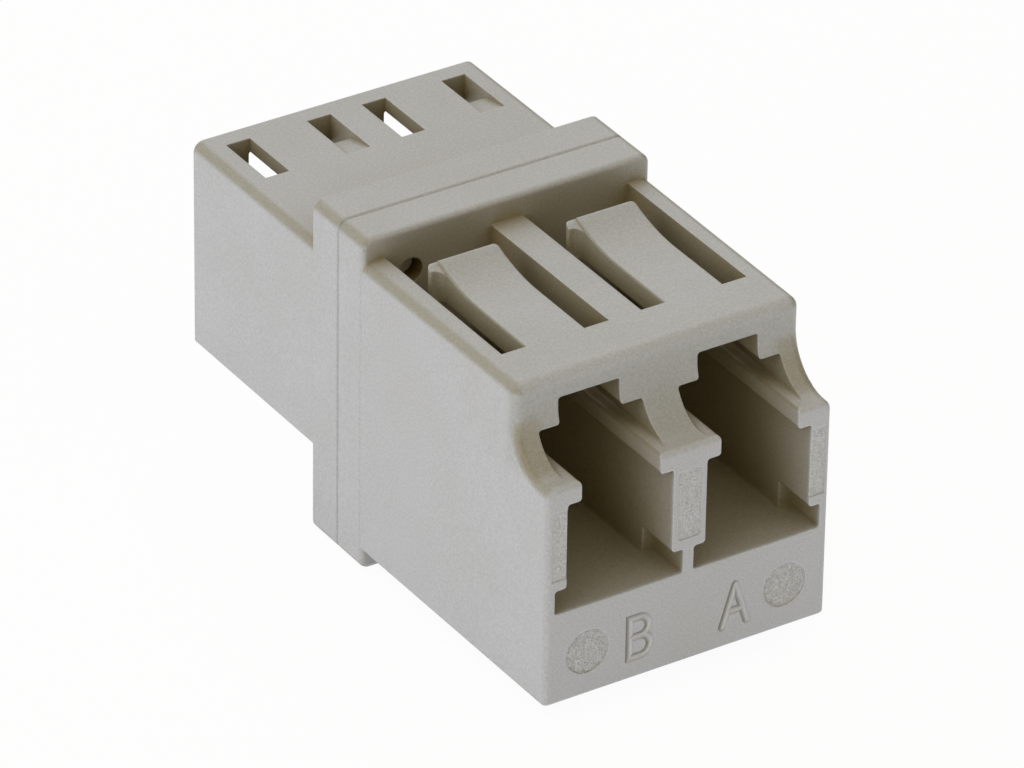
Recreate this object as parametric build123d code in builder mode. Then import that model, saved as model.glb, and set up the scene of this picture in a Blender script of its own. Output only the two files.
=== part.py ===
"""Duplex fibre optic coupler for two pairs of small form factor plugs.

Two moulded halves meet at a flange and hold a split alignment sleeve for each
of the two fibres. The front half has finger room above its ports and two
spring fingers that hold the coupler in a panel cut-out.

Millimetres. +X is to the right seen from the front, the front faces -Y and +Z
is up. The origin is under the middle of the coupler, on the level of the
flange's lower edge.
"""

import os

from build123d import *

# Overall lengths along Y
front_length = 13.0
front_plate = 1.8
rear_plate = 1.9
rear_length = 9.1

# Heights, from the sole up to the floor of the ports and from there up to the deck
front_drop = 0.93
floor_height = 4.04
deck_thickness = 0.99
flange_rise = 1.03

# Widths, outwards from the ports
side_wall = 0.4
draft = 0.105
flange_proud = 0.025

# Ports, each a plug's square with rails, a lug zone and a latch channel above
pitch = 6.25
centre_wall = 0.46
plug_square = 4.76
rail_reach = 0.61
rail_height = 0.82
lug_inset = 0.05
lug_height = 1.24
channel_width = 2.74
front_channel_height = 1.1
rear_channel_height = 0.61
mouth_height = 1.07
mouth_depth = 2.05
port_corner = 0.13
web_half = 1.5

# Flange
flange_corner = 0.45
flange_edge = 0.22
flange_rear_edge = 0.1
seam_chamfer = 0.1

# Front body, which narrows a little towards its front by the mould's draft
front_corner = 0.25
front_top_round = 0.45
sole_edge = 0.15

# Finger room: the upper front face stands back and sweeps out to a shoulder
setback = 2.35
scoop_radius = 2.0
brow_round = 0.42

# Rear body
rear_floor = 1.12
rear_deck = 0.61
rear_top_round = 0.45
rear_edge = 0.1

# Windows in the decks, where the plugs' latch lugs spring up
window_outset = 0.02
rear_window_width = 1.09
front_shoulder = 4.71
rear_shoulder = 0.93
rear_window = 3.0
ramp_length = 1.45
ramp_start_drop = 0.08
ramp_end_drop = 0.34

# Spring fingers, each with a wing on its left
finger_inset = 0.03
finger_gap = 2.01
finger_rise = 0.63
finger_bend_start = 8.0
finger_edge = 0.08
finger_corner = 0.2
wing_reach = 0.48
wing_length = 0.35
wing_drop = 0.11
wing_corner = 0.2
wing_blend = 0.4

# Alignment sleeves and the tubes that hold them
sleeve_length = 6.8
sleeve_radius = 0.8
sleeve_bore = 0.6245
sleeve_slit = 0.3
sleeve_clearance = 0.05
sleeve_end_clearance = 0.05
holder_radius = 1.25
holder_edge = 0.12
lip_bore = 0.68
lip_mouth = 0.95
lip_length = 0.4

# Locating posts of the rear half in holes of the front half
post_radius = 0.5
post_clearance = 0.03
post_length = 1.2
post_end_clearance = 0.05
post_edge = 0.1
post_from_fibre = 1.245
post_below_deck = 0.9

# Shallow round recesses beside the port letters
mark_radius = 0.97
mark_depth = 0.05
mark_from_fibre = 1.365
mark_height = 1.94

# Shallow fields on the fronts of the walls between and beside the ports
field_width = 1.04
field_height = 3.05
field_depth = 0.03
field_corner = 0.15
field_above_floor = 1.5

# Core-outs in the sole, which keep the wall under the ports even
core_wall = 1.1
core_roof = 1.1
core_rib = 1.0
core_corner = 0.3

# Places that follow from the sizes above
overall_length = front_length + front_plate + rear_plate + rear_length
y_front = -overall_length / 2
y_flange = y_front + front_length
y_seam = y_flange + front_plate
y_rear_plate = y_seam + rear_plate
y_rear = y_rear_plate + rear_length
y_setback = y_front + setback
y_front_window = y_front + front_shoulder
y_rear_window = y_rear - rear_shoulder
y_finger_end = y_flange - finger_gap
z_floor = front_drop + floor_height
z_axis = z_floor + plug_square / 2
z_plug_top = z_floor + plug_square
z_ledge = z_plug_top + rail_height
z_lug_top = z_ledge + lug_height
z_front_channel = z_lug_top + front_channel_height
z_deck = z_front_channel + deck_thickness
z_rear_channel = z_lug_top + rear_channel_height
z_rear_bottom = z_floor - rear_floor
z_rear_top = z_rear_channel + rear_deck
z_post = z_deck - post_below_deck
pocket_radius = sleeve_radius + sleeve_clearance
pocket_reach = sleeve_length / 2 + sleeve_end_clearance
holder_reach = pocket_reach + lip_length
rail_gap = plug_square - 2 * rail_reach
lug_width = plug_square - 2 * lug_inset
window_outer = plug_square + 2 * window_outset
finger_width = channel_width - 2 * finger_inset
mouth_width = pitch - centre_wall
front_width = pitch + mouth_width + 2 * side_wall
body_width = front_width + 2 * draft
flange_width = body_width + 2 * flange_proud
flange_height = z_deck + flange_rise
post_from_centre = pitch / 2 + post_from_fibre
mark_from_centre = pitch / 2 + mark_from_fibre
port_x = {"b": -pitch / 2, "a": pitch / 2}
overshoot = 1.0
near = 0.01


def facing_front(y):
    """Sketch plane across the coupler at y, with x to the right and z up."""
    return Plane((0, y, 0), x_dir=(1, 0, 0), z_dir=(0, -1, 0))


def fibre_plane(x):
    """Level sketch plane with its origin where a fibre's axis meets the seam."""
    return Plane((x, y_seam, z_axis), x_dir=(1, 0, 0), z_dir=(0, 0, 1))


def strip(x, width, z_low, z_high):
    """Rectangle across x on a sketch plane from facing_front."""
    with Locations((x, (z_low + z_high) / 2)):
        Rectangle(width, z_high - z_low)


def plug_way(x, room_width, z_top):
    """Plug's square, the gap between the rails above it and the room over the rails."""
    strip(x, plug_square, z_floor, z_plug_top)
    strip(x, rail_gap, z_plug_top, z_ledge)
    strip(x, room_width, z_ledge, z_top)


def port_mouth(x, z_channel):
    """Opening of a port: the plug's way, the latch channel and the wider mouth at the floor."""
    plug_way(x, lug_width, z_lug_top)
    strip(x, channel_width, z_lug_top, z_channel)
    strip(x, mouth_width, z_floor, z_floor + mouth_height)


def outer_edges(part, y):
    """Edges of the flange's outline in the plane at y."""
    return part.edges().filter_by_position(Axis.Y, y - near, y + near)


def holder_outline(outwards):
    """Half section of a tube that holds a sleeve, from the seam outwards."""
    with Locations((holder_radius / 2, outwards * holder_reach / 2)):
        tube = Rectangle(holder_radius, holder_reach)
    tip = tube.vertices().sort_by(Axis.X)[-2:].sort_by(Axis.Y)
    chamfer(tip[-1] if outwards > 0 else tip[0], holder_edge)


def pocket_outline(outwards):
    """Half section of the space for one half of a sleeve, and of the lip's flared mouth."""
    Polygon(
        (0, 0),
        (pocket_radius, 0),
        (pocket_radius, outwards * pocket_reach),
        (lip_bore, outwards * pocket_reach),
        (lip_mouth, outwards * holder_reach),
        (0, outwards * holder_reach),
        align=Align.NONE,
    )


with BuildPart() as front_flange:
    with BuildSketch(facing_front(y_seam)):
        strip(0, flange_width, 0, flange_height)
        fillet(vertices(), flange_corner)
    extrude(amount=front_plate)
    fillet(outer_edges(front_flange, y_flange), flange_edge)
    chamfer(outer_edges(front_flange, y_seam), seam_chamfer)

with BuildPart() as rear_flange:
    with BuildSketch(facing_front(y_seam)):
        strip(0, flange_width, 0, flange_height)
        fillet(vertices(), flange_corner)
    extrude(amount=-rear_plate)
    chamfer(outer_edges(rear_flange, y_rear_plate), flange_rear_edge)
    chamfer(outer_edges(rear_flange, y_seam), seam_chamfer)

# Front half
with BuildPart() as front_housing:
    # Body, a trapezium seen from above that runs on into the flange
    root = flange_edge * 2
    root_half = body_width / 2 + draft * root / front_length
    with BuildSketch(Plane.XY.offset(front_drop)):
        with BuildLine():
            Polyline(
                (-front_width / 2, y_front),
                (front_width / 2, y_front),
                (root_half, y_flange + root),
                (-root_half, y_flange + root),
                close=True,
            )
        make_face()
    extrude(amount=z_deck - front_drop)

    # Finger room, swept out across the whole width
    with BuildSketch(Plane.YZ):
        with BuildLine():
            sweep = Line((y_front - overshoot, z_ledge), (y_setback - scoop_radius, z_ledge))
            rise = RadiusArc(sweep @ 1, (y_setback, z_ledge + scoop_radius), -scoop_radius)
            wall = Line(rise @ 1, (y_setback, z_deck + overshoot))
            Polyline(wall @ 1, (y_front - overshoot, z_deck + overshoot), sweep @ 0)
        make_face()
    extrude(amount=flange_width, both=True, mode=Mode.SUBTRACT)

    # Rounded edges of the deck, brow, upright corners, shoulder and sole
    deck_edges = front_housing.edges().filter_by_position(Axis.Z, z_deck - near, z_deck + near)
    fillet(deck_edges.filter_by(Axis.X, reverse=True), front_top_round)
    deck_edges = front_housing.edges().filter_by_position(Axis.Z, z_deck - near, z_deck + near)
    fillet(deck_edges.filter_by(Axis.X).sort_by(Axis.Y)[0], brow_round)
    corners = [
        edge
        for edge in front_housing.edges()
        if edge.center().Y < y_setback + near
        and front_drop + near < edge.center().Z < z_deck - brow_round
        and abs(edge.center().X) > front_width / 2 - front_corner
    ]
    shoulder = front_housing.edges().filter_by(Axis.X).filter_by_position(
        Axis.Z, z_ledge - near, z_ledge + near
    )
    fillet([*corners, shoulder.sort_by(Axis.Y)[0]], front_corner)
    sole = front_housing.edges().filter_by_position(Axis.Z, front_drop - near, front_drop + near)
    fillet(sole.sort_by(Axis.Y)[:-1], sole_edge)

    add(front_flange.part)

    # Ports: the mouth, the latch channel up to the windows, and the plug's way up to the web
    with BuildSketch(facing_front(y_front - overshoot)):
        for x in port_x.values():
            port_mouth(x, z_front_channel)
        fillet(vertices(), port_corner)
    extrude(amount=-(mouth_depth + overshoot), mode=Mode.SUBTRACT)
    with BuildSketch(facing_front(y_front + mouth_depth)):
        for x in port_x.values():
            plug_way(x, lug_width, z_lug_top)
            strip(x, channel_width, z_lug_top, z_front_channel)
        fillet(vertices(), port_corner)
    extrude(amount=-(front_shoulder - mouth_depth), mode=Mode.SUBTRACT)
    with BuildSketch(facing_front(y_front_window)):
        for x in port_x.values():
            plug_way(x, lug_width, z_lug_top)
        fillet(vertices().filter_by_position(Axis.Y, z_floor - near, z_lug_top - near), port_corner)
    extrude(amount=-(y_seam - web_half - y_front_window), mode=Mode.SUBTRACT)

    # Openings in the deck around the spring fingers
    with BuildSketch(facing_front(y_front_window)):
        for x in port_x.values():
            strip(x, window_outer, z_lug_top, z_deck + overshoot)
    extrude(amount=-(y_flange - y_front_window), mode=Mode.SUBTRACT)

    # Front halves of the sleeve holders
    for x in port_x.values():
        with BuildSketch(fibre_plane(x)):
            holder_outline(-1)
        revolve(axis=Axis((x, y_seam, z_axis), (0, 1, 0)))
        with BuildSketch(fibre_plane(x)):
            pocket_outline(-1)
        revolve(axis=Axis((x, y_seam, z_axis), (0, 1, 0)), mode=Mode.SUBTRACT)

    # Holes for the locating posts, of which only the left one goes right through
    for x, depth in ((-post_from_centre, front_plate), (post_from_centre, post_length + post_end_clearance)):
        with BuildSketch(facing_front(y_seam)):
            with Locations((x, z_post)):
                Circle(post_radius + post_clearance)
        extrude(amount=depth, mode=Mode.SUBTRACT)

    # Round recesses on the front
    with BuildSketch(facing_front(y_front + mark_depth)):
        with Locations(
            (-mark_from_centre, front_drop + mark_height),
            (mark_from_centre, front_drop + mark_height),
        ):
            Circle(mark_radius)
    extrude(amount=mark_depth, mode=Mode.SUBTRACT)

    # Fields on the port walls, of which the outer two run into the ports
    z_field = z_floor + field_above_floor + field_height / 2
    field_reach = front_width / 2 - front_corner
    with BuildSketch(facing_front(y_front + field_depth)):
        with Locations((0, z_field)):
            RectangleRounded(field_width, field_height, field_corner)
        for side in (-1, 1):
            with Locations((side * (field_reach + pitch / 2) / 2, z_field)):
                Rectangle(field_reach - pitch / 2, field_height)
    extrude(amount=field_depth, mode=Mode.SUBTRACT)

    # Core-outs in the sole
    core_width = (front_width - core_rib) / 2 - core_wall
    with BuildSketch(Plane.XY.offset(front_drop)):
        for side in (-1, 1):
            with Locations((side * (core_rib + core_width) / 2, (y_front + y_flange) / 2)):
                RectangleRounded(core_width, front_length - 2 * core_wall, core_corner)
    extrude(amount=z_floor - core_roof - front_drop, mode=Mode.SUBTRACT)

# Rear half
with BuildPart() as rear_housing:
    # Body, which runs on into the flange
    with BuildSketch(facing_front(y_rear)):
        strip(0, body_width, z_rear_bottom, z_rear_top)
        fillet(vertices().group_by(Axis.Y)[-1], rear_top_round)
        fillet(vertices().group_by(Axis.Y)[0], sole_edge)
    extrude(amount=rear_length + rear_plate / 2)
    end_edges = rear_housing.edges().filter_by_position(Axis.Y, y_rear - near, y_rear + near)
    chamfer(end_edges, rear_edge)

    add(rear_flange.part)

    # Ports: the mouth, and behind the shoulder wall the plug's way with room for the latch lugs
    with BuildSketch(facing_front(y_rear + overshoot)):
        for x in port_x.values():
            port_mouth(x, z_rear_channel)
        fillet(vertices(), port_corner)
    extrude(amount=mouth_depth + overshoot, mode=Mode.SUBTRACT)
    with BuildSketch(facing_front(y_rear_window)):
        for x in port_x.values():
            plug_way(x, window_outer, z_rear_channel)
    extrude(amount=y_rear_window - y_seam - web_half, mode=Mode.SUBTRACT)

    # Windows in the deck: the left one of each pair is open, the right one starts as a ramp
    window_from_axis = (window_outer - rear_window_width) / 2
    with BuildSketch(facing_front(y_rear_window)):
        for x in port_x.values():
            strip(x - window_from_axis, rear_window_width, z_lug_top, z_rear_top + overshoot)
    extrude(amount=rear_window, mode=Mode.SUBTRACT)
    y_ramp = y_rear_window - rear_window
    for x in port_x.values():
        with BuildSketch(Plane.YZ.offset(x + window_from_axis)):
            with BuildLine():
                Polyline(
                    (y_ramp, z_rear_top + overshoot),
                    (y_ramp, z_rear_top - ramp_start_drop),
                    (y_ramp + ramp_length, z_rear_top - ramp_end_drop),
                    (y_ramp + ramp_length, z_lug_top),
                    (y_rear_window, z_lug_top),
                    (y_rear_window, z_rear_top + overshoot),
                    close=True,
                )
            make_face()
        extrude(amount=rear_window_width / 2, both=True, mode=Mode.SUBTRACT)

    # Rear halves of the sleeve holders
    for x in port_x.values():
        with BuildSketch(fibre_plane(x)):
            holder_outline(1)
        revolve(axis=Axis((x, y_seam, z_axis), (0, 1, 0)))
        with BuildSketch(fibre_plane(x)):
            pocket_outline(1)
        revolve(axis=Axis((x, y_seam, z_axis), (0, 1, 0)), mode=Mode.SUBTRACT)

    # Locating posts
    with BuildSketch(facing_front(y_seam)):
        with Locations((-post_from_centre, z_post), (post_from_centre, z_post)):
            Circle(post_radius)
    extrude(amount=post_length)
    tips = rear_housing.faces().filter_by(Axis.Y).sort_by(Axis.Y)[:2]
    chamfer(tips.edges(), post_edge)

# Spring fingers, moulded on the front half at their roots
with BuildSketch(Plane.YZ) as finger_side:
    with BuildLine():
        top = Line((y_front_window, z_deck), (y_front + finger_bend_start, z_deck))
        bend = TangentArc(top @ 1, (y_finger_end, z_deck + finger_rise), tangent=top % 1)
        Polyline(bend @ 1, (y_finger_end, z_front_channel), (y_front_window, z_front_channel), top @ 0)
    make_face()

fingers = {}
for name, x in port_x.items():
    x_side = x - finger_width / 2
    x_wing = x_side - wing_reach
    y_wing = y_finger_end - wing_length

    # The wing's top follows the finger's, a little lower
    with BuildPart() as wing:
        with BuildSketch(Plane.XY.offset(z_front_channel)):
            Polygon(
                (x, y_wing - wing_reach * 2),
                (x_side, y_wing - wing_reach * 2),
                (x_side, y_wing),
                (x_wing, y_wing),
                (x_wing, y_finger_end),
                (x, y_finger_end),
                align=Align.NONE,
            )
            inner = vertices().sort_by_distance((x_side, y_wing, z_front_channel))[0]
            fillet(inner, wing_blend)
            outer = vertices().sort_by_distance((x_wing, y_finger_end, z_front_channel))[0]
            fillet(outer, wing_corner)
        extrude(amount=deck_thickness + finger_rise)
        with BuildSketch(Plane.YZ.offset(x)):
            with Locations((0, -wing_drop)):
                add(finger_side.sketch_local)
        extrude(amount=window_outer, both=True, mode=Mode.INTERSECT)

    with BuildPart() as finger:
        with BuildSketch(Plane.YZ.offset(x)):
            add(finger_side.sketch_local)
        extrude(amount=finger_width / 2, both=True)
        tip = finger.edges().filter_by(Axis.Z).sort_by(Axis.Y)[-2:]
        fillet(tip.sort_by(Axis.X)[-1], finger_corner)
        fillet(finger.faces().sort_by(Axis.Z)[-1].edges().filter_by(GeomType.CIRCLE), finger_edge)
        add(wing.part)
    fingers[name] = finger.part
    fingers[name].label = "latch_finger_" + name

# Split sleeves, with the slit on top
sleeves = {}
for name, x in port_x.items():
    with BuildPart() as sleeve:
        with BuildSketch(facing_front(y_seam)):
            with Locations((x, z_axis)):
                Circle(sleeve_radius)
                Circle(sleeve_bore, mode=Mode.SUBTRACT)
        extrude(amount=sleeve_length / 2, both=True)
        with BuildSketch(facing_front(y_seam)):
            strip(x, sleeve_slit, z_axis, z_axis + sleeve_radius + overshoot)
        extrude(amount=sleeve_length, both=True, mode=Mode.SUBTRACT)
    sleeves[name] = sleeve.part
    sleeves[name].label = "sleeve_" + name

front_housing.part.label = "front_housing"
rear_housing.part.label = "rear_housing"

os.makedirs("parts", exist_ok=True)
export_step(front_housing.part, "parts/front_housing.step")
export_step(rear_housing.part, "parts/rear_housing.step")
for name in port_x:
    export_step(fingers[name], "parts/latch_finger_" + name + ".step")
    export_step(sleeves[name], "parts/sleeve_" + name + ".step")
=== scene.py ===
"""Finishes with their port letters, and a studio stage, for a duplex fibre optic coupler."""

from math import cos, radians, sin

import bpy
from mathutils import Matrix, Vector

bl_info = {
    "name": "Fibre Optic Coupler Look",
    "version": (1, 0, 0),
    "blender": (4, 5, 0),
    "location": "View3D > Sidebar > Coupler",
    "description": "Dresses the duplex fibre optic coupler and sets its studio stage",
    "category": "Object",
}

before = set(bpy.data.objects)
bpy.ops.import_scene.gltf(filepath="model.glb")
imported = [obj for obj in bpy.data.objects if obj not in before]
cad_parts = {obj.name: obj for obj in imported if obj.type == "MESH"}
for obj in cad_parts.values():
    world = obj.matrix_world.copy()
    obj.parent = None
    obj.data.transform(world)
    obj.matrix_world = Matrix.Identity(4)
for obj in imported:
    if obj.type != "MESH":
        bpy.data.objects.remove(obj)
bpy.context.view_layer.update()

MM = 0.001
PHOTO_WIDTH = 1024
SENSOR_WIDTH = 36.0
CAMERA_PLACE = (-0.151147, -0.233922, 0.176824)
CAMERA_NEAR = 0.01
CAMERA_FAR = 10.0
LAMP_TARGET = (0.0, 0.0, 0.007)
FLOOR_SIZE = 4.0
FLOOR_GLOW_SHARE = 0.95
WHITE = (1.0, 1.0, 1.0)
HOUSING_NODES = ("front_housing", "rear_housing", "latch_finger_a", "latch_finger_b")
SLEEVE_NODES = ("sleeve_a", "sleeve_b")

# Places on the coupler, in millimetres of the row frame
FRONT_Y = -12.9
SOLE_Z = 0.93
MARK_X = 4.49
MARK_RISE = 1.94
MARK_Z = SOLE_Z + MARK_RISE
MARK_RADIUS = 0.97
MARK_DEPTH = 0.05
MARK_RIM = 0.07
PATCH_SOFT = 0.05
FIELD_Z = 7.995
FIELD_HALF_HEIGHT = 1.525
FIELD_HALF_DEPTH = 0.1
CENTRE_FIELD_HALF_WIDTH = 0.52
SIDE_FIELD_X = 5.84
SIDE_FIELD_HALF_WIDTH = 0.33
BROW_Y = -11.0
BROW_HALF_DEPTH = 0.95
BROW_Z = 12.0
BROW_HALF_HEIGHT = 1.5
BROW_SOFT = 0.25
SEAM_Y = 1.9
SEAM_LIMITS = (0.12, 0.2)
THIN_WALL_LIMITS = (SIDE_FIELD_X - 0.7, SIDE_FIELD_X - 0.3)
FINGER_ROOT_Y = -8.19
ROOT_HALF_LENGTH = 0.2
ROOT_HALF_HEIGHT = 0.05
ROOT_SOFT = 0.01
CROWN_Y = -3.7
CROWN_HALF_LENGTH = 1.6
CROWN_Z = 14.4
CROWN_HALF_HEIGHT = 0.3
CROWN_SOFT = 0.3
ROOM_Y = -3.4
ROOM_HALF_LENGTH = 4.9
ROOM_Z = 12.6
ROOM_HALF_HEIGHT = 2.6
ROOM_SOFT = 0.2
DECK_Z = 13.88
ON_FACE_LIMITS = (FRONT_Y + 0.04, FRONT_Y + 0.02)
BEHIND_FACE_LIMITS = (FRONT_Y + 0.06, FRONT_Y + 0.2)

# A reach in millimetres beyond anything on the coupler
UNBOUNDED = 1000.0

# Centre lines of the engraved letters on the front face, as x and z in millimetres
A_APEX = (2.194, 3.657)
A_LEFT_FOOT = (1.64, 1.871)
A_RIGHT_FOOT = (2.763, 1.883)
A_BAR_LEFT = (1.848, 2.515)
A_BAR_RIGHT = (2.572, 2.495)
B_STEM_X = -2.595
B_TOP = 3.647
B_WAIST = 2.8
B_FOOT = 1.893
B_UPPER_RIGHT = -1.751
B_LOWER_RIGHT = -1.668

# The two values at which a share of 0 and a share of 1 are reached
CLOUD_LIMITS = (0.3, 0.8)
SPECKLE_LIMITS = (0.25, 0.75)
RECESS_OPENNESS = (1.0, 0.1)
SLOT_OPENNESS = (0.85, 0.35)
ROUNDING_SLANT = (0.08, 0.45)
SCOOP_SLANT = (0.03, 0.2)
GROOVE_START = (0.0, 0.1)
SHADED_TURN = (0.05, 0.6)
LIT_TURN = (-0.02, -0.45)
EDGE_AGREEMENT = (0.99, 0.85)

# Textures and shading
NOISE_DETAIL = 3.0
CLOUD_SCALE = 260.0
SPECKLE_PER_GRAIN = 0.5
NOISE_MIDDLE = 0.5
FIELD_STRENGTH = 0.6
DENT_STRENGTH = 0.5
AWAY_FROM_LAMPS = (0.7, 0.0, -0.7)
SHADING_SAMPLES = 8
ROUGHNESS_SPREAD = 0.06
PLASTIC_IOR = 1.5
PLASTIC_SPECULAR = 0.4
DRAWN_SCALE = 30000.0
DRAWN_STRETCH = (1.0, 0.08, 1.0)
DRAWN_HEIGHT = 0.000001
DRAWN_DARKNESS = 0.85
DRAWN_SMOOTHER = 0.05
DRAWN_ROUGHER = 0.1


class CouplerPlastic(bpy.types.PropertyGroup):
    """Moulded grey plastic of the housing."""

    colour: bpy.props.FloatVectorProperty(
        name="Colour",
        description="Colour of the plastic where it is lit evenly",
        subtype="COLOR",
        size=3,
        min=0.0,
        max=1.0,
        default=(0.438, 0.436, 0.436),
    )
    cloud_colour: bpy.props.FloatVectorProperty(
        name="Flow Colour",
        description="Slightly warmer tone that the moulding flow leaves in broad clouds",
        subtype="COLOR",
        size=3,
        min=0.0,
        max=1.0,
        default=(0.428, 0.422, 0.41),
    )
    roughness: bpy.props.FloatProperty(
        name="Roughness",
        description="Roughness of the spark-eroded surface",
        min=0.0,
        max=1.0,
        default=0.5,
        subtype="FACTOR",
    )
    grain_size: bpy.props.FloatProperty(
        name="Grain Size",
        description="Width of one grain of the spark-eroded surface",
        min=0.00001,
        max=0.001,
        default=0.00005,
        precision=6,
        unit="LENGTH",
    )
    grain_height: bpy.props.FloatProperty(
        name="Grain Height",
        description="Height of the grain",
        min=0.0,
        max=0.0001,
        default=0.000007,
        precision=7,
        unit="LENGTH",
    )
    recess_reach: bpy.props.FloatProperty(
        name="Recess Reach",
        description="How far apart walls may stand and still colour each other",
        min=0.0001,
        max=0.02,
        default=0.009,
        precision=4,
        unit="LENGTH",
    )
    # Painted shade: darkens and browns the walls of the letters and dents that turn away from the lamps
    groove_painted_shade: bpy.props.FloatVectorProperty(
        name="Groove Tint",
        description="Tint of the plastic on the shaded walls of the letters and dents",
        subtype="COLOR",
        size=3,
        min=0.0,
        max=1.0,
        default=(0.62, 0.58, 0.45),
    )
    # Painted shade: darkens and browns the plastic in the narrow slots round the spring fingers
    slot_painted_shade: bpy.props.FloatVectorProperty(
        name="Slot Tint",
        description="Further tint of the plastic in the slots round the spring fingers",
        subtype="COLOR",
        size=3,
        min=0.0,
        max=1.0,
        default=(0.74, 0.66, 0.42),
    )
    slot_reach: bpy.props.FloatProperty(
        name="Slot Reach",
        description="How far apart neighbouring pieces may stand and still colour each other",
        min=0.0001,
        max=0.02,
        default=0.003,
        precision=4,
        unit="LENGTH",
    )
    # Painted shade: darkens and browns the plastic in its recesses, standing in for their shade and the light
    # that bounces from wall to wall
    recess_painted_shade: bpy.props.FloatVectorProperty(
        name="Recess Tint",
        description="Tint of the plastic in the depth of its recesses",
        subtype="COLOR",
        size=3,
        min=0.0,
        max=1.0,
        default=(0.6, 0.48, 0.21),
    )
    # Painted shade: darkens and browns the plastic where its face slants between side and top, on the long
    # round edges
    rounding_painted_shade: bpy.props.FloatVectorProperty(
        name="Rounding Tint",
        description="Tint of the plastic on the long round edges, which are smoother than the flat faces",
        subtype="COLOR",
        size=3,
        min=0.0,
        max=1.0,
        default=(0.75, 0.72, 0.6),
    )
    # Painted shade: darkens the plastic on the brow above the ports and on the crowns of the fingers
    brow_painted_shade: bpy.props.FloatVectorProperty(
        name="Brow Tint",
        description="Tint of the plastic above the ports and on the crowns of the fingers",
        subtype="COLOR",
        size=3,
        min=0.0,
        max=1.0,
        default=(0.89, 0.89, 0.86),
    )
    # Painted shade: darkens and browns the plastic on the hollow ends of the thin side walls
    scoop_painted_shade: bpy.props.FloatVectorProperty(
        name="Scoop Tint",
        description="Further tint of the plastic on the hollow ends of the thin side walls",
        subtype="COLOR",
        size=3,
        min=0.0,
        max=1.0,
        default=(0.88, 0.83, 0.72),
    )
    edge_round: bpy.props.FloatProperty(
        name="Edge Rounding",
        description="Radius to which sharp moulded edges are softened in shading",
        min=0.0,
        max=0.0005,
        default=0.00011,
        precision=6,
        unit="LENGTH",
    )
    speckle: bpy.props.FloatProperty(
        name="Speckle",
        description="How much paler or darker single grains are",
        min=0.0,
        max=1.0,
        default=0.19,
        subtype="FACTOR",
    )
    # Painted highlight: makes the plastic paler along its sharp edges
    edge_painted_highlight: bpy.props.FloatProperty(
        name="Edge Painted Highlight",
        description="How much paler the plastic is along its sharp edges",
        min=0.0,
        max=1.0,
        default=0.34,
        subtype="FACTOR",
    )
    # Painted light: makes the plastic paler on the walls of the letters and dents that face the lamps
    lit_wall_painted_light: bpy.props.FloatProperty(
        name="Lit Wall Painted Light",
        description="How much paler the plastic is on the lit walls of the letters and dents",
        min=0.0,
        max=1.0,
        default=0.35,
        subtype="FACTOR",
    )
    patch_gain: bpy.props.FloatProperty(
        name="Patch Paleness",
        description="How much paler the plastic is in the round marks",
        min=0.0,
        max=1.0,
        default=0.42,
        subtype="FACTOR",
    )
    patch_size: bpy.props.FloatProperty(
        name="Patch Size",
        description="Width of one dent of the hammered texture in the round marks",
        min=0.00001,
        max=0.001,
        default=0.00022,
        precision=6,
        unit="LENGTH",
    )
    patch_relief: bpy.props.FloatProperty(
        name="Patch Relief",
        description="Height of the hammered texture in the round marks",
        min=0.0,
        max=0.001,
        default=0.00045,
        precision=6,
        unit="LENGTH",
    )


class CouplerSleeve(bpy.types.PropertyGroup):
    """Phosphor bronze of the split sleeves."""

    colour: bpy.props.FloatVectorProperty(
        name="Colour",
        description="Colour of the bronze",
        subtype="COLOR",
        size=3,
        min=0.0,
        max=1.0,
        default=(0.66, 0.42, 0.24),
    )
    roughness: bpy.props.FloatProperty(
        name="Roughness",
        description="Roughness of the rolled strip",
        min=0.0,
        max=1.0,
        default=0.3,
        subtype="FACTOR",
    )


class CouplerLetters(bpy.types.PropertyGroup):
    """Grooves of the letters that name the ports, as relief of the plastic."""

    stroke: bpy.props.FloatProperty(
        name="Letter Stroke",
        description="Width of a letter's groove",
        min=0.00005,
        max=0.001,
        default=0.00036,
        precision=6,
        unit="LENGTH",
    )
    depth: bpy.props.FloatProperty(
        name="Letter Depth",
        description="Depth of a letter's groove",
        min=0.0,
        max=0.0005,
        default=0.00014,
        precision=6,
        unit="LENGTH",
    )


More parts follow.
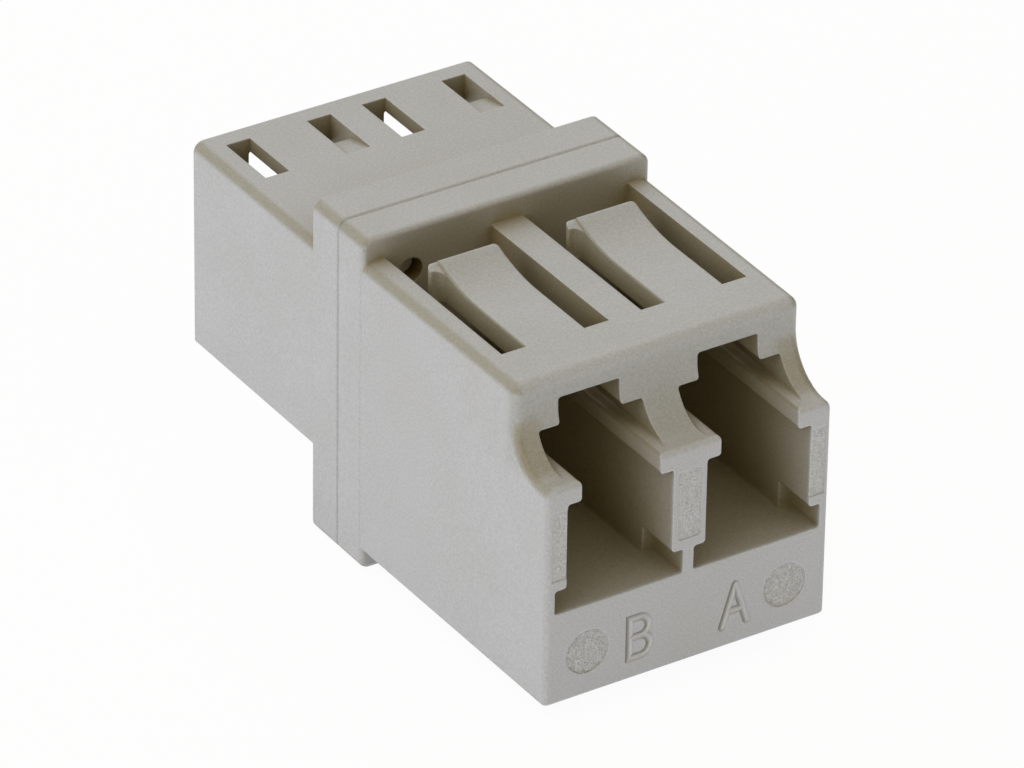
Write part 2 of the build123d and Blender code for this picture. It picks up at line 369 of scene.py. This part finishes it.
class CouplerStage(bpy.types.PropertyGroup):
    """Studio stage and camera."""

    floor_colour: bpy.props.FloatVectorProperty(
        name="Floor Colour",
        description="Colour of the floor",
        subtype="COLOR",
        size=3,
        min=0.0,
        max=1.0,
        default=(0.86, 0.86, 0.86),
    )
    table_colour: bpy.props.FloatVectorProperty(
        name="Table Light Colour",
        description="Colour of the light that the table sends up",
        subtype="COLOR",
        size=3,
        min=0.0,
        max=1.0,
        default=(0.72, 0.8, 1.0),
    )
    table_glow: bpy.props.FloatProperty(
        name="Table Light",
        description="Strength of the light that the table sends up",
        min=0.0,
        max=4.0,
        default=0.56,
    )
    ambient_colour: bpy.props.FloatVectorProperty(
        name="Ambient Colour",
        description="Colour of the even light from all round",
        subtype="COLOR",
        size=3,
        min=0.0,
        max=1.0,
        default=(1.0, 0.93, 0.7),
    )
    ambient: bpy.props.FloatProperty(
        name="Ambient",
        description="Strength of the even light from all round",
        min=0.0,
        max=4.0,
        default=0.37,
    )
    azimuth: bpy.props.FloatProperty(
        name="Camera Azimuth",
        description="Direction in which the camera looks, from +Y towards +X",
        subtype="ANGLE",
        default=radians(32.914),
    )
    elevation: bpy.props.FloatProperty(
        name="Camera Elevation",
        description="Angle by which the camera looks down",
        subtype="ANGLE",
        default=radians(31.442),
    )
    roll: bpy.props.FloatProperty(
        name="Camera Roll",
        description="Turn of the camera about its line of sight",
        subtype="ANGLE",
        default=radians(-0.9125),
    )
    focal_pixels: bpy.props.FloatProperty(
        name="Focal Length in Pixels",
        description="Focal length over the width of one pixel of the photograph",
        min=100.0,
        max=100000.0,
        default=8384.5,
    )


def settings():
    """The coupler's settings on the current scene."""
    return bpy.context.scene.coupler


def new_material(name):
    """Empty node material and its node tree."""
    material = bpy.data.materials.new(name)
    material.use_nodes = True
    tree = material.node_tree
    tree.nodes.clear()
    return material, tree


def node(tree, kind, place, **values):
    """Adds a node and sets its properties."""
    made = tree.nodes.new(kind)
    made.location = place
    for key, value in values.items():
        setattr(made, key, value)
    return made


def plug(tree, socket, value):
    """Links a socket to another one, or sets it to a constant."""
    if isinstance(value, bpy.types.NodeSocket):
        tree.links.new(value, socket)
    else:
        socket.default_value = value


def noise(tree, place, coordinates, scale, roughness):
    """Noise texture on the given coordinates."""
    made = node(tree, "ShaderNodeTexNoise", place)
    made.inputs["Scale"].default_value = scale
    made.inputs["Detail"].default_value = NOISE_DETAIL
    made.inputs["Roughness"].default_value = roughness
    tree.links.new(coordinates, made.inputs["Vector"])
    return made.outputs["Fac"]


def ramp(tree, place, value, low, high, bottom=0.0, top=1.0):
    """Maps a value from low..high onto bottom..top."""
    made = node(tree, "ShaderNodeMapRange", place, clamp=True)
    made.inputs["From Min"].default_value = low
    made.inputs["From Max"].default_value = high
    made.inputs["To Min"].default_value = bottom
    made.inputs["To Max"].default_value = top
    tree.links.new(value, made.inputs["Value"])
    return made.outputs["Result"]


def place_ramp(tree, place, value, limits):
    """Share from 0 to 1 between two places given in millimetres."""
    none, full = limits
    return ramp(tree, place, value, none * MM, full * MM)


def math(tree, place, operation, *values):
    """Math node on sockets or numbers."""
    made = node(tree, "ShaderNodeMath", place, operation=operation)
    for socket, value in zip(made.inputs, values):
        plug(tree, socket, value)
    return made.outputs["Value"]


def vector_math(tree, place, operation, *vectors, output="Vector"):
    """Vector math node on sockets or constant vectors."""
    made = node(tree, "ShaderNodeVectorMath", place, operation=operation)
    for socket, vector in zip(made.inputs, vectors):
        plug(tree, socket, vector)
    return made.outputs[output]


def scaled(tree, place, vector, factor):
    """Vector or colour times a factor."""
    made = node(tree, "ShaderNodeVectorMath", place, operation="SCALE")
    plug(tree, made.inputs[0], vector)
    plug(tree, made.inputs["Scale"], factor)
    return made.outputs["Vector"]


def components(tree, place, vector):
    """X, Y and Z of a vector."""
    made = node(tree, "ShaderNodeSeparateXYZ", place)
    tree.links.new(vector, made.inputs["Vector"])
    return made.outputs


def extreme(tree, place, operation, values):
    """Largest or smallest of several values."""
    x, y = place
    best = values[0]
    for count, value in enumerate(values[1:]):
        best = math(tree, (x + 100 * count, y), operation, best, value)
    return best


def disc_mask(tree, place, coordinates, centre, radius, soft):
    """1 inside a sphere about a point of the front face, 0 outside. Sizes in millimetres."""
    x, y = place
    middle = Vector(centre) * MM
    distance = vector_math(tree, (x, y), "DISTANCE", coordinates, middle, output="Value")
    return place_ramp(tree, (x + 200, y), distance, (radius + soft, radius - soft))


def box_mask(tree, place, coordinates, centre, half, soft):
    """1 inside a box, 0 outside. Sizes in millimetres."""
    x, y = place
    offset = vector_math(tree, (x, y), "SUBTRACT", coordinates, Vector(centre) * MM)
    reach = vector_math(tree, (x + 150, y), "ABSOLUTE", offset)
    beyond = vector_math(tree, (x + 300, y), "SUBTRACT", reach, Vector(half) * MM)
    parts = components(tree, (x + 450, y), beyond)
    furthest = extreme(tree, (x + 550, y), "MAXIMUM", (parts["X"], parts["Y"], parts["Z"]))
    return place_ramp(tree, (x + 750, y), furthest, (soft, -soft))


def slant_between(tree, place, first, second):
    """More than 0 where the face slants between two of the axes."""
    x, y = place
    normal = node(tree, "ShaderNodeTexCoord", (x, y)).outputs["Normal"]
    size = vector_math(tree, (x + 200, y), "ABSOLUTE", normal)
    parts = components(tree, (x + 400, y), size)
    return math(tree, (x + 600, y), "MINIMUM", parts[first], parts[second])


def tinted(tree, place, share, colour, tint):
    """Multiplies a colour by a tint where the share is 1."""
    made = node(tree, "ShaderNodeMix", place, data_type="RGBA", blend_type="MULTIPLY")
    tree.links.new(share, made.inputs["Factor"])
    tree.links.new(colour, made.inputs["A"])
    made.inputs["B"].default_value = (*tint, 1.0)
    return made.outputs["Result"]


def bumped(tree, place, relief, normal=None):
    """Normal of a surface with a relief given in metres."""
    made = node(tree, "ShaderNodeBump", place)
    made.inputs["Distance"].default_value = 1.0
    tree.links.new(relief, made.inputs["Height"])
    if normal is not None:
        tree.links.new(normal, made.inputs["Normal"])
    return made.outputs["Normal"]


def line_distance(tree, place, face, start, end):
    """Distance on the front face from a straight stroke, in millimetres."""
    x, y = place
    run = Vector((end[0] - start[0], 0.0, end[1] - start[1]))
    per_run = run / run.length_squared
    offset = vector_math(tree, (x, y), "SUBTRACT", face, (start[0], 0.0, start[1]))
    along = vector_math(tree, (x + 150, y), "DOT_PRODUCT", offset, per_run, output="Value")
    held = ramp(tree, (x + 300, y), along, 0.0, 1.0)
    nearest = scaled(tree, (x + 450, y), run, held)
    return vector_math(tree, (x + 600, y), "DISTANCE", offset, nearest, output="Value")


def bow_distance(tree, place, face, left, right, low, high):
    """Distance on the front face from two level strokes joined by a half circle on their right."""
    x, y = place
    radius = (high - low) / 2
    offset = vector_math(tree, (x, y), "SUBTRACT", face, (right - radius, 0.0, low + radius))
    held = vector_math(tree, (x + 150, y), "MAXIMUM", offset, (0.0, -UNBOUNDED, -UNBOUNDED))
    reach = vector_math(tree, (x + 300, y), "LENGTH", held, output="Value")
    beyond = math(tree, (x + 450, y), "SUBTRACT", reach, radius)
    gap = math(tree, (x + 600, y), "ABSOLUTE", beyond)
    parts = components(tree, (x + 300, y - 150), face)
    short = math(tree, (x + 450, y - 150), "SUBTRACT", left, parts["X"])
    return math(tree, (x + 750, y), "MAXIMUM", gap, short)


def letter_grooves(tree, place, where, on_face):
    """1 along the middle of the engraved strokes of A and B, 0 beside them."""
    x, y = place
    face = vector_math(tree, (x, y), "MULTIPLY", where, (1.0 / MM, 0.0, 1.0 / MM))
    straight = (
        (A_APEX, A_LEFT_FOOT),
        (A_APEX, A_RIGHT_FOOT),
        (A_BAR_LEFT, A_BAR_RIGHT),
        ((B_STEM_X, B_FOOT), (B_STEM_X, B_TOP)),
    )
    bows = (
        (B_UPPER_RIGHT, B_WAIST, B_TOP),
        (B_LOWER_RIGHT, B_FOOT, B_WAIST),
    )
    gaps = []
    for start, end in straight:
        gaps.append(line_distance(tree, (x + 200, y - 200 * len(gaps)), face, start, end))
    for right, low, high in bows:
        gaps.append(bow_distance(tree, (x + 200, y - 200 * len(gaps)), face, B_STEM_X, right, low, high))
    nearest = extreme(tree, (x + 1100, y), "MINIMUM", gaps)
    aside = ramp(tree, (x + 1700, y), nearest, 0.0, settings().letters.stroke / 2 / MM)
    round_floor = math(tree, (x + 1850, y), "MULTIPLY", aside, aside)
    groove = math(tree, (x + 2000, y), "SUBTRACT", 1.0, round_floor)
    return math(tree, (x + 2150, y), "MULTIPLY", groove, on_face)


def round_marks(tree, place, where, radius, soft):
    """1 in the two round marks of the front face. Sizes in millimetres."""
    x, y = place
    masks = []
    for side in (-1, 1):
        centre = (side * MARK_X, FRONT_Y + MARK_DEPTH, MARK_Z)
        masks.append(disc_mask(tree, (x, y - 200 * len(masks)), where, centre, radius, soft))
    return extreme(tree, (x + 450, y), "MAXIMUM", masks)


def shallow_fields(tree, place, where):
    """1 in the three shallow fields of the front face."""
    x, y = place
    fields = (
        (-SIDE_FIELD_X, SIDE_FIELD_HALF_WIDTH),
        (0.0, CENTRE_FIELD_HALF_WIDTH),
        (SIDE_FIELD_X, SIDE_FIELD_HALF_WIDTH),
    )
    masks = []
    for middle, half_width in fields:
        centre = (middle, FRONT_Y, FIELD_Z)
        half = (half_width - PATCH_SOFT, FIELD_HALF_DEPTH, FIELD_HALF_HEIGHT - PATCH_SOFT)
        masks.append(box_mask(tree, (x, y - 200 * len(masks)), where, centre, half, PATCH_SOFT))
    return extreme(tree, (x + 950, y), "MAXIMUM", masks)


def grey_colour(tree, where, clouds):
    """Grey of the plastic, with broad clouds and single paler and darker grains."""
    look = settings().plastic
    flow = node(tree, "ShaderNodeMix", (0, 300), data_type="RGBA")
    tree.links.new(clouds, flow.inputs["Factor"])
    flow.inputs["A"].default_value = (*look.colour, 1.0)
    flow.inputs["B"].default_value = (*look.cloud_colour, 1.0)
    grains = noise(tree, (-700, 80), where, scale=SPECKLE_PER_GRAIN / look.grain_size, roughness=0.8)
    tone = ramp(tree, (-250, 80), grains, *SPECKLE_LIMITS, 1.0 - look.speckle, 1.0 + look.speckle)
    return scaled(tree, (250, 300), flow.outputs["Result"], tone)


def recess_share(tree, along, behind_face):
    """Share of the painted recess shade, darker and browner, standing in for the light that goes from wall to
    wall and through thin walls.
    """
    openness = node(tree, "ShaderNodeAmbientOcclusion", (-250, 600), samples=SHADING_SAMPLES, only_local=True)
    openness.inputs["Distance"].default_value = settings().plastic.recess_reach
    deep = ramp(tree, (0, 600), openness.outputs["AO"], *RECESS_OPENNESS)
    deep = math(tree, (150, 600), "MULTIPLY", deep, behind_face)
    behind_seam = math(tree, (-1100, 700), "SUBTRACT", along, SEAM_Y * MM)
    from_seam = math(tree, (-900, 700), "ABSOLUTE", behind_seam)
    return math(tree, (300, 600), "MULTIPLY", deep, place_ramp(tree, (-700, 700), from_seam, SEAM_LIMITS))


def slot_share(tree, where):
    """Share of the painted shade, darker and browner, between the spring fingers and the walls of their room.
    """
    openness = node(tree, "ShaderNodeAmbientOcclusion", (-250, 800), samples=SHADING_SAMPLES)
    openness.inputs["Distance"].default_value = settings().plastic.slot_reach
    narrow = ramp(tree, (0, 800), openness.outputs["AO"], *SLOT_OPENNESS)
    centre = (0.0, ROOM_Y, ROOM_Z)
    half = (UNBOUNDED, ROOM_HALF_LENGTH, ROOM_HALF_HEIGHT)
    room = box_mask(tree, (-1500, 900), where, centre, half, ROOM_SOFT)
    return math(tree, (150, 800), "MULTIPLY", narrow, room)


def rounding_share(tree, behind_face):
    """1 on the long round edges, where the painted shade falls."""
    slant = ramp(tree, (300, 1000), slant_between(tree, (-600, 1100), "X", "Z"), *ROUNDING_SLANT)
    return math(tree, (450, 1000), "MULTIPLY", slant, behind_face)


def scoop_share(tree, across, brow):
    """1 on the hollow ends of the thin side walls, where the painted shade falls."""
    hollow = ramp(tree, (300, 1900), slant_between(tree, (-600, 1950), "Y", "Z"), *SCOOP_SLANT)
    from_middle = math(tree, (-200, 2100), "ABSOLUTE", across)
    outer = place_ramp(tree, (0, 2100), from_middle, THIN_WALL_LIMITS)
    hollow = math(tree, (450, 1900), "MULTIPLY", hollow, outer)
    return math(tree, (600, 1900), "MULTIPLY", hollow, brow)


def surface_relief(tree, where, patches, groove):
    """Height of grain and hammered dents, less the letters' grooves and the dished marks, in metres."""
    look = settings().plastic
    hammered = noise(tree, (-700, -420), where, scale=1.0 / look.patch_size, roughness=0.7)
    hammered = math(tree, (-400, -420), "SUBTRACT", hammered, NOISE_MIDDLE)
    hammered = math(tree, (-250, -420), "MULTIPLY", hammered, patches)
    hammered = math(tree, (-100, -420), "MULTIPLY", hammered, look.patch_relief)
    grain = noise(tree, (-700, -200), where, scale=1.0 / look.grain_size, roughness=0.65)
    relief = math(tree, (50, -200), "MULTIPLY_ADD", grain, look.grain_height, hammered)
    relief = math(tree, (200, -300), "MULTIPLY_ADD", groove, -settings().letters.depth, relief)
    dish = round_marks(tree, (-2600, -1100), where, MARK_RADIUS - MARK_RIM, MARK_RIM)
    return math(tree, (300, -300), "MULTIPLY_ADD", dish, -MARK_DEPTH * MM, relief)


def softened_normal(tree, where, plain):
    """Normal with softened edges, but not where a finger runs on into the deck without a seam."""
    edges = node(tree, "ShaderNodeBevel", (50, -550), samples=SHADING_SAMPLES)
    edges.inputs["Radius"].default_value = settings().plastic.edge_round
    centre = (0.0, FINGER_ROOT_Y, DECK_Z)
    half = (UNBOUNDED, ROOT_HALF_LENGTH, ROOT_HALF_HEIGHT)
    root = box_mask(tree, (-900, -1100), where, centre, half, ROOT_SOFT)
    softened = node(tree, "ShaderNodeMix", (200, -600), data_type="VECTOR")
    tree.links.new(root, softened.inputs["Factor"])
    tree.links.new(edges.outputs["Normal"], softened.inputs["A"])
    tree.links.new(plain, softened.inputs["B"])
    return softened.outputs["Result"]


def plastic_material():
    """Moulded grey plastic with a spark-eroded grain."""
    look = settings().plastic
    material, tree = new_material("moulded_plastic")
    output = node(tree, "ShaderNodeOutputMaterial", (1500, 0))
    shader = node(tree, "ShaderNodeBsdfPrincipled", (1200, 0))
    tree.links.new(shader.outputs["BSDF"], output.inputs["Surface"])
    where = node(tree, "ShaderNodeTexCoord", (-1500, 0)).outputs["Object"]
    parts = components(tree, (-1300, 100), where)
    behind_face = place_ramp(tree, (-1100, 100), parts["Y"], BEHIND_FACE_LIMITS)
    on_face = place_ramp(tree, (-1100, -100), parts["Y"], ON_FACE_LIMITS)
    clouds = noise(tree, (-700, 300), where, scale=CLOUD_SCALE, roughness=0.55)
    clouds = ramp(tree, (-500, 300), clouds, *CLOUD_LIMITS)

    marks = round_marks(tree, (-2600, -600), where, MARK_RADIUS - PATCH_SOFT, PATCH_SOFT)
    fields = math(tree, (-800, -600), "MULTIPLY", shallow_fields(tree, (-2000, -600), where), FIELD_STRENGTH)
    patches = math(tree, (-650, -600), "MAXIMUM", marks, fields)
    groove = letter_grooves(tree, (-2000, -1700), where, on_face)
    plain = node(tree, "ShaderNodeNewGeometry", (50, -700)).outputs["Normal"]
    softened = softened_normal(tree, where, plain)
    normal = bumped(tree, (400, -300), surface_relief(tree, where, patches, groove), softened)
    tree.links.new(normal, shader.inputs["Normal"])

    # Painted shade and painted light: a groove's walls that look down and away from the lamps are painted
    # browner, its lit walls are painted paler
    rising = ramp(tree, (300, -900), groove, *GROOVE_START)
    dents = math(tree, (300, -1050), "MULTIPLY", patches, DENT_STRENGTH)
    cuts = math(tree, (450, -900), "MAXIMUM", rising, dents)
    turned = vector_math(tree, (600, -300), "DOT_PRODUCT", normal, AWAY_FROM_LAMPS, output="Value")
    shaded, lit = (
        math(tree, (850, y), "MULTIPLY", ramp(tree, (700, y), turned, *limits), cuts)
        for y, limits in ((-450, SHADED_TURN), (-1050, LIT_TURN))
    )

    # Painted shade: the brow above the ports and the crowns of the fingers are painted darker, like the round
    # edges
    brow_half = (UNBOUNDED, BROW_HALF_DEPTH, BROW_HALF_HEIGHT)
    brow = box_mask(tree, (-900, 1400), where, (0.0, BROW_Y, BROW_Z), brow_half, BROW_SOFT)
    crown_half = (UNBOUNDED, CROWN_HALF_LENGTH, CROWN_HALF_HEIGHT)
    crown = box_mask(tree, (-900, 1700), where, (0.0, CROWN_Y, CROWN_Z), crown_half, CROWN_SOFT)
    deep = recess_share(tree, parts["Y"], behind_face)
    # Painted shade in the recesses, slots, round edges, brow, crowns, scoops and shaded groove walls
    tints = (
        (deep, look.recess_painted_shade),
        (slot_share(tree, where), look.slot_painted_shade),
        (rounding_share(tree, behind_face), look.rounding_painted_shade),
        (math(tree, (500, 1400), "MAXIMUM", brow, crown), look.brow_painted_shade),
        (scoop_share(tree, parts["X"], brow), look.scoop_painted_shade),
        (shaded, look.groove_painted_shade),
    )
    colour = grey_colour(tree, where, clouds)
    for count, (share, tint) in enumerate(tints):
        colour = tinted(tree, (450 + 80 * count, 400), share, colour, tint)

    # Painted highlight: sharp outer edges are painted paler, and the round marks and fields are paler
    agree = vector_math(tree, (400, -600), "DOT_PRODUCT", softened, plain, output="Value")
    edge = ramp(tree, (550, -600), agree, *EDGE_AGREEMENT)
    edge = math(tree, (700, -600), "MULTIPLY", edge, math(tree, (550, -750), "SUBTRACT", 1.0, deep))
    gain = 1.0
    for share, strength in ((edge, look.edge_painted_highlight), (patches, look.patch_gain), (lit, look.lit_wall_painted_light)):
        gain = math(tree, (1000, -600), "MULTIPLY_ADD", share, strength, gain)
    tree.links.new(scaled(tree, (1000, 300), colour, gain), shader.inputs["Base Color"])

    smoothest, roughest = look.roughness - ROUGHNESS_SPREAD, look.roughness + ROUGHNESS_SPREAD
    rough = ramp(tree, (0, 0), clouds, 0.0, 1.0, smoothest, roughest)
    tree.links.new(rough, shader.inputs["Roughness"])
    shader.inputs["IOR"].default_value = PLASTIC_IOR
    shader.inputs["Specular IOR Level"].default_value = PLASTIC_SPECULAR
    return material


def bronze_material():
    """Rolled phosphor bronze with fine drawing lines."""
    look = settings().sleeve
    material, tree = new_material("phosphor_bronze")
    output = node(tree, "ShaderNodeOutputMaterial", (600, 0))
    shader = node(tree, "ShaderNodeBsdfPrincipled", (300, 0))
    tree.links.new(shader.outputs["BSDF"], output.inputs["Surface"])
    where = node(tree, "ShaderNodeTexCoord", (-900, 0)).outputs["Object"]
    stretched = vector_math(tree, (-700, 0), "MULTIPLY", where, DRAWN_STRETCH)
    lines = noise(tree, (-500, 0), stretched, scale=DRAWN_SCALE, roughness=0.6)
    tone = node(tree, "ShaderNodeMix", (0, 150), data_type="RGBA")
    tree.links.new(lines, tone.inputs["Factor"])
    tone.inputs["A"].default_value = (*[part * DRAWN_DARKNESS for part in look.colour], 1.0)
    tone.inputs["B"].default_value = (*look.colour, 1.0)
    tree.links.new(tone.outputs["Result"], shader.inputs["Base Color"])
    smoothest, roughest = look.roughness - DRAWN_SMOOTHER, look.roughness + DRAWN_ROUGHER
    rough = ramp(tree, (0, -100), lines, 0.0, 1.0, smoothest, roughest)
    tree.links.new(rough, shader.inputs["Roughness"])
    shader.inputs["Metallic"].default_value = 1.0
    drawn = math(tree, (-150, -350), "MULTIPLY", lines, DRAWN_HEIGHT)
    tree.links.new(bumped(tree, (50, -350), drawn), shader.inputs["Normal"])
    return material


def dress(names, material):
    """Gives CAD nodes one material."""
    for name in names:
        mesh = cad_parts[name].data
        mesh.materials.clear()
        mesh.materials.append(material)


def shared_material(name, make):
    """The material of that name, made when it is first asked for."""
    return bpy.data.materials.get(name) or make()


def clear_selection():
    """Leaves nothing selected and no object in edit mode."""
    if bpy.context.object and bpy.context.object.mode != "OBJECT":
        bpy.ops.object.mode_set(mode="OBJECT")
    bpy.ops.object.select_all(action="DESELECT")


class COUPLER_OT_plastic(bpy.types.Operator):
    """Gives the housing halves and spring fingers their moulded plastic"""

    bl_idname = "coupler.plastic"
    bl_label = "Finish Housing"
    bl_options = {"REGISTER", "UNDO"}

    def execute(self, context):
        dress(HOUSING_NODES, shared_material("moulded_plastic", plastic_material))
        return {"FINISHED"}


class COUPLER_OT_bronze(bpy.types.Operator):
    """Gives the split sleeves their bronze"""

    bl_idname = "coupler.bronze"
    bl_label = "Finish Sleeves"
    bl_options = {"REGISTER", "UNDO"}

    def execute(self, context):
        dress(SLEEVE_NODES, shared_material("phosphor_bronze", bronze_material))
        return {"FINISHED"}


def lamp(name, place, size, power, colour):
    """Rectangular area lamp that looks at the middle of the coupler."""
    light = bpy.data.lights.new(name, "AREA")
    light.shape = "RECTANGLE"
    light.size, light.size_y = size
    light.energy = power
    light.color = colour
    holder = bpy.data.objects.new(name, light)
    bpy.context.scene.collection.objects.link(holder)
    holder.location = place
    holder.rotation_euler = (Vector(LAMP_TARGET) - Vector(place)).to_track_quat("-Z", "Y").to_euler()


def mixed(tree, place, share, first, second):
    """Shader that goes from the first to the second as the share goes from 0 to 1."""
    made = node(tree, "ShaderNodeMixShader", place)
    for socket, value in zip(made.inputs, (share, first, second)):
        tree.links.new(value, socket)
    return made.outputs["Shader"]


def floor_material(look):
    """White paper on a lit table, which the camera sees as almost pure white."""
    material, tree = new_material("floor_paper")
    output = node(tree, "ShaderNodeOutputMaterial", (600, 0))
    seen = node(tree, "ShaderNodeLightPath", (-400, 200)).outputs["Is Camera Ray"]
    paper = node(tree, "ShaderNodeBsdfDiffuse", (0, -150))
    paper.inputs["Color"].default_value = (*look.floor_colour, 1.0)
    table = node(tree, "ShaderNodeEmission", (0, -300))
    table.inputs["Color"].default_value = (*look.table_colour, 1.0)
    unseen = math(tree, (-200, -300), "SUBTRACT", 1.0, seen)
    table_strength = math(tree, (-100, -300), "MULTIPLY", unseen, look.table_glow)
    tree.links.new(table_strength, table.inputs["Strength"])
    lit = node(tree, "ShaderNodeAddShader", (150, -200))
    tree.links.new(paper.outputs["BSDF"], lit.inputs[0])
    tree.links.new(table.outputs["Emission"], lit.inputs[1])
    glow = node(tree, "ShaderNodeEmission", (0, 0))
    glow.inputs["Color"].default_value = (*WHITE, 1.0)
    share = math(tree, (0, 200), "MULTIPLY", seen, FLOOR_GLOW_SHARE)
    surface = mixed(tree, (300, 0), share, lit.outputs["Shader"], glow.outputs["Emission"])
    tree.links.new(surface, output.inputs["Surface"])
    return material


def background(tree, place, colour, strength):
    """Background shader of one colour."""
    made = node(tree, "ShaderNodeBackground", place)
    made.inputs["Color"].default_value = (*colour, 1.0)
    made.inputs["Strength"].default_value = strength
    return made.outputs["Background"]


def studio_world(look):
    """Even light from all round, behind a background that the camera sees as white."""
    world = bpy.data.worlds.new("studio")
    world.use_nodes = True
    tree = world.node_tree
    tree.nodes.clear()
    output = node(tree, "ShaderNodeOutputWorld", (600, 0))
    seen = node(tree, "ShaderNodeLightPath", (0, 300)).outputs["Is Camera Ray"]
    around = background(tree, (200, 100), look.ambient_colour, look.ambient)
    white = background(tree, (200, -100), WHITE, 1.0)
    tree.links.new(mixed(tree, (400, 0), seen, around, white), output.inputs["Surface"])
    return world


def camera_matrix(look):
    """Camera matrix from the direction of sight, the roll and the fitted position."""
    level = cos(look.elevation)
    forward = Vector((level * sin(look.azimuth), level * cos(look.azimuth), -sin(look.elevation)))
    right = Vector((cos(look.azimuth), -sin(look.azimuth), 0.0))
    down = forward.cross(right)
    turned_right = cos(look.roll) * right + sin(look.roll) * down
    turned_down = -sin(look.roll) * right + cos(look.roll) * down
    rows = Matrix((turned_right, -turned_down, -forward)).transposed().to_4x4()
    return Matrix.Translation(CAMERA_PLACE) @ rows


def photo_camera(look):
    """Camera that stands where the photograph was taken from."""
    sight = bpy.data.cameras.new("photo_camera")
    sight.sensor_width = SENSOR_WIDTH
    sight.lens = look.focal_pixels * SENSOR_WIDTH / PHOTO_WIDTH
    sight.clip_start = CAMERA_NEAR
    sight.clip_end = CAMERA_FAR
    camera = bpy.data.objects.new("photo_camera", sight)
    bpy.context.scene.collection.objects.link(camera)
    camera.matrix_world = camera_matrix(look)
    return camera


class COUPLER_OT_stage(bpy.types.Operator):
    """Sets up the floor, the soft light and the camera"""

    bl_idname = "coupler.stage"
    bl_label = "Studio Stage"
    bl_options = {"REGISTER", "UNDO"}

    def execute(self, context):
        look = settings().stage
        scene = context.scene
        clear_selection()
        bpy.ops.mesh.primitive_plane_add(size=FLOOR_SIZE, location=(0.0, 0.0, 0.0))
        floor = context.object
        floor.name = "floor"
        floor.data.materials.append(floor_material(look))

        lamp(
            "left_softbox",
            place=(-0.5, -0.1, 0.25),
            size=(0.5, 0.4),
            power=0.55,
            colour=(1.0, 0.95, 0.9),
        )
        lamp(
            "upper_left_softbox",
            place=(-0.4, 0.0, 0.45),
            size=(0.5, 0.5),
            power=0.82,
            colour=(0.88, 0.9, 1.0),
        )
        lamp(
            "top_softbox",
            place=(0.0, 0.1, 0.6),
            size=(0.8, 0.8),
            power=0.96,
            colour=(0.9, 0.92, 1.0),
        )
        lamp(
            "front_top_softbox",
            place=(0.05, -0.35, 0.5),
            size=(0.5, 0.4),
            power=0.31,
            colour=(1.0, 0.9, 0.65),
        )
        lamp(
            "rear_softbox",
            place=(0.1, 0.5, 0.4),
            size=(0.8, 0.4),
            power=1.29,
            colour=(0.8, 0.86, 1.0),
        )
        scene.world = studio_world(look)
        scene.camera = photo_camera(look)
        scene.view_settings.view_transform = "Standard"
        return {"FINISHED"}


class COUPLER_PT_panel(bpy.types.Panel):
    """Coupler's settings and steps in the sidebar."""

    bl_idname = "COUPLER_PT_panel"
    bl_label = "Fibre Optic Coupler"
    bl_space_type = "VIEW_3D"
    bl_region_type = "UI"
    bl_category = "Coupler"

    def draw(self, context):
        coupler = context.scene.coupler
        steps = (
            ((coupler.plastic, coupler.letters), COUPLER_OT_plastic),
            ((coupler.sleeve,), COUPLER_OT_bronze),
            ((coupler.stage,), COUPLER_OT_stage),
        )
        for groups, step in steps:
            box = self.layout.box()
            for group in groups:
                for name in group.__annotations__:
                    box.prop(group, name)
            box.operator(step.bl_idname)


class CouplerSettings(bpy.types.PropertyGroup):
    """All of the coupler's settings."""

    plastic: bpy.props.PointerProperty(type=CouplerPlastic)
    sleeve: bpy.props.PointerProperty(type=CouplerSleeve)
    letters: bpy.props.PointerProperty(type=CouplerLetters)
    stage: bpy.props.PointerProperty(type=CouplerStage)


CLASSES = (
    CouplerPlastic,
    CouplerSleeve,
    CouplerLetters,
    CouplerStage,
    CouplerSettings,
    COUPLER_OT_plastic,
    COUPLER_OT_bronze,
    COUPLER_OT_stage,
    COUPLER_PT_panel,
)


def register():
    """Registers the classes and the scene's settings."""
    for cls in CLASSES:
        bpy.utils.register_class(cls)
    bpy.types.Scene.coupler = bpy.props.PointerProperty(type=CouplerSettings)


def unregister():
    """Undoes register."""
    del bpy.types.Scene.coupler
    for cls in reversed(CLASSES):
        bpy.utils.unregister_class(cls)


def main():
    """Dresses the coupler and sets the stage."""
    register()
    bpy.ops.coupler.plastic()
    bpy.ops.coupler.bronze()
    bpy.ops.coupler.stage()


if __name__ == "__main__":
    main()
